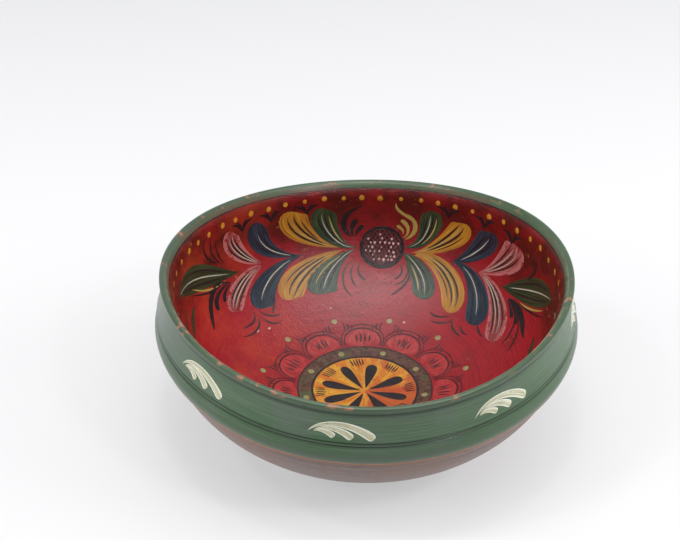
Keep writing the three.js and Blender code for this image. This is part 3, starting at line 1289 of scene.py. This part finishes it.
def spray(u):
    """Three cream commas that share a root; angles run to the right, seen from outside."""
    long = through((u - 5.8, 15.6), (u - 1.8, 9.0), (u + 4.2, 9.0), (u + 10.6, 17.6))
    middle = through((u - 4.4, 14.2), (u - 1.2, 11.4), (u + 2.2, 12.6), (u + 5.2, 17.4))
    short = through((u - 4.4, 15.0), (u - 2.6, 13.8), (u - 0.8, 14.6), (u + 0.8, 17.0))
    lift = LAYERS["sprays"]
    return [comma(long, 5.8, lift, 50.0), comma(middle, 5.0, lift, 30.0), comma(short, 4.0, lift, 16.0)]


# ---------------------------------------------------------------- making it

place_camera()
bpy.context.scene.view_settings.view_transform = "Standard"
light_room()
lay_floor()

LATHE = lathe_tree()
BRUSH = brush_tree()

whole_inside = INSIDE[::-1]
outer_coat = outside_paint()
wood_line = outside_wood() + sunk(outer_coat, BEDDING) + sunk(whole_inside, BEDDING)
wood_line[-1] = (0, wood_line[-1][1])
red_line = cut(whole_inside, RED_RADIUS, RING_RADIUS)
ring_line = cut(whole_inside, RING_RADIUS, DISC_RADIUS)
disc_line = cut(whole_inside, DISC_RADIUS, -1)
disc_shell = disc_line + [(0, FLOOR_TOP - COAT)] + sunk(disc_line[:-1], COAT)[::-1] + disc_line[:1]

# Each turned piece: its name, outline, the name and mixing of its finish, its CAD node and its slot.
for name, line, looks, mixing, node, slot_name in (
    ("bowl_wood", wood_line, "varnished wood", varnished_wood, "turned_bowl", "varnished_wood"),
    ("green_rim", coat(outer_coat), "worn green", worn_green, "green_rim_coat", "green_paint"),
    ("red_inside", coat(red_line), "deep red", deep_red, "red_inside_coat", "red_paint"),
    ("brown_ring", coat(ring_line), "ring brown", ring_brown, "medallion_ring", "brown_paint"),
    ("ochre_disc", disc_shell, "disc ochre", disc_ochre, "medallion_disc", "ochre_paint"),
):
    turned_piece(name, line, finish(looks, mixing), node)

SURFACES = {
    "inside": drawn_line("inside line", INSIDE),
    "band": drawn_line("band line", arc(BAND_HEAD, BAND_FOOT, BAND_HOLLOW, 18)),
}

green_paint = brushed_paint("leaf green", (32, 52, 32), (62, 78, 40), (16, 26, 20))
ochre_paint = brushed_paint("leaf ochre", (150, 100, 26), (182, 132, 46), (92, 58, 16))
blue_paint = brushed_paint("leaf blue", (24, 34, 46), (40, 58, 72), (14, 18, 26), (44, 24, 30))
pink_paint = brushed_paint(
    "leaf pink", (120, 46, 46), (176, 114, 112), (104, 22, 22), wear=0.66, rim=(156, 92, 90)
)
tip_paint = brushed_paint("tip green", (34, 44, 26), (52, 64, 36), (18, 24, 16), (40, 34, 20))
black_paint = brushed_paint("lamp black", (20, 16, 20), (36, 30, 34), (10, 8, 10), (60, 24, 22), 0.84)
line_paint = brushed_paint("thin black", (38, 16, 20), (66, 24, 26), (24, 12, 14), wear=0.76)
light_paint = brushed_paint("pale line", (154, 148, 132), (190, 186, 172), (104, 94, 82), wear=0.76)
straw_paint = brushed_paint("straw line", (150, 128, 70), (186, 166, 106), (104, 84, 40), wear=0.76)
yellow_paint = brushed_paint("comma yellow", (142, 120, 56), (172, 152, 88), (100, 78, 32), wear=0.84)
dot_paint = brushed_paint("dot yellow", (176, 122, 34), (198, 150, 62), (136, 80, 22), wear=0.74)
pale_dot_paint = brushed_paint("dot pale green", (126, 122, 76), (172, 164, 118), (92, 80, 50), wear=0.74)
maroon_paint = brushed_paint("seed maroon", (46, 16, 20), (64, 24, 28), (26, 10, 14), wear=0.9)
lattice_paint = brushed_paint("lattice red", (96, 36, 38), (128, 56, 54), (64, 22, 24), wear=0.86)
seed_dot_paint = brushed_paint("seed white", (184, 146, 142), (222, 196, 190), (130, 76, 76), wear=0.9)
scallop_paint = brushed_paint("scallop red", (150, 34, 38), (178, 62, 58), (126, 20, 24), wear=0.7)
cream_paint = brushed_paint(
    "spray cream", (164, 162, 132), (206, 204, 186), (118, 124, 92), (84, 102, 78), 0.78, rim=(206, 206, 190)
)

green = leaves(GREEN_LEAVES, "green leaves")
ochre = leaves(OCHRE_LEAVES, "ochre leaves")
blue = leaves(BLUE_LEAVES, "blue leaves")
pink = leaves(PINK_LEAVES, "pink leaves")
tips = leaves(TIP_LEAVES, "tip leaves", 2.0, 1.0)
spikes = [ribbon(through(*points), width, LAYERS["petals and dots"]) for points, width in SPIKES]

black = veins(green, (-0.42, 0.12), 1.6, 0.25, 0.93) + veins(ochre, (-0.4, 0.12), 1.7, 0.25, 0.93)
black += veins(ochre, (0.5,), 1.0, 0.35, 0.8) + veins(blue, (-0.35, 0.35), 1.2, 0.3, 0.9)
black += veins(pink, (-0.5, 0.0, 0.45), 1.2, 0.3, 0.88) + veins(tips, (-0.55, 0.5), 1.3, 0.2, 0.9)
black += lines_of(BLACK_CRESCENTS) + commas_of(BLACK_COMMAS)
black += [one for spot in TWIGS for one in twig(spot)]
fine = [ribbon(through(*points), 1.7, LAYERS["fine lines"]) for points in FINE_LINES]
pale = veins(green, (-0.12,), 0.9, 0.08, 0.9, "pale lines")
pale += veins(blue, (0.05,), 0.9, 0.2, 0.85, "pale lines")
pale += veins(pink, (-0.2, 0.22), 0.8, 0.15, 0.9, "pale lines")
pale += veins(tips, (-0.05,), 1.0, 0.2, 0.97, "pale lines")
straw = veins(ochre, (-0.14,), 0.9, 0.1, 0.92, "pale lines")
straw += veins(green, (0.45,), 1.1, 0.3, 0.85, "pale lines")
yellow = lines_of(YELLOW_CRESCENTS) + commas_of(YELLOW_COMMAS)

heads = [dot((0, SEED_PLACE), SEED_HEAD, SEED_HEAD, LAYERS["black lines"])]
cores = [dot((0, SEED_PLACE), SEED_CORE, SEED_CORE, LAYERS["seed cores"])]
chips = [dot(*chip, LAYERS["petals and dots"]) for chip in CHIPS]
sprays = [one for start in SPRAY_STARTS for one in spray(start)]

# Each group of strokes: its name, strokes, paint and slot, then a stroke's rings and segments, its body
# of paint where it isn't the usual one, and the surface where it isn't the inside.
for group in (
    ("green_leaves", both(green), green_paint, "green_paint", 18, 12, 0.03),
    ("ochre_leaves", both(ochre), ochre_paint, "ochre_paint", 18, 12, 0.03),
    ("blue_leaves", both(blue), blue_paint, "green_paint", 18, 12, 0.03),
    ("pink_leaves", both(pink), pink_paint, "red_paint", 18, 12, 0.03),
    ("tip_leaves", both(tips) + spikes, tip_paint, "green_paint", 18, 12, 0.03),
    ("black_strokes", both(black), black_paint, "brown_paint", 12, 6, 0.04),
    ("fine_black_strokes", both(fine), line_paint, "brown_paint", 10, 6, 0.03),
    ("pale_lines", both(pale), light_paint, "ochre_paint", 12, 6, 0.04),
    ("straw_lines", both(straw), straw_paint, "ochre_paint", 12, 6, 0.04),
    ("yellow_commas", both(yellow), yellow_paint, "ochre_paint", 12, 6, 0.05),
    ("seed_heads", both(heads), black_paint, "brown_paint", 28, 32, 0.08),
    ("seed_cores", both(cores), maroon_paint, "red_paint", 28, 32, 0.06),
    ("seed_lattice", both(seed_lattice()), lattice_paint, "red_paint", 10, 4, 0.02),
    ("seed_dots", both(seed_dots()), seed_dot_paint, "ochre_paint", 6, 8, 0.05),
    ("chips", chips, seed_dot_paint, "ochre_paint", 6, 8, 0.03),
    ("rim_dots", rim_dots(), dot_paint, "ochre_paint", 8, 8),
    ("petals", medallion_petals(), black_paint, "brown_paint", 16, 12),
    ("disc_hatches", medallion_hatches(), black_paint, "brown_paint", 8, 4, 0.03),
    ("ring_dots", ring_dots(), pale_dot_paint, "ochre_paint", 8, 12),
    ("scallops", scallop_fields(), scallop_paint, "red_paint", 16, 16, 0.03),
    ("scallop_lines", scallop_lines() + scallop_commas(), line_paint, "brown_paint", 16, 4, 0.03),
    ("scallop_dots", scallop_dots(), pale_dot_paint, "ochre_paint", 8, 12),
    ("band_sprays", sprays, cream_paint, "ochre_paint", 28, 10, 0.08, "band"),
):
    painted(*group)

for helper in SURFACES.values():
    discard(helper)
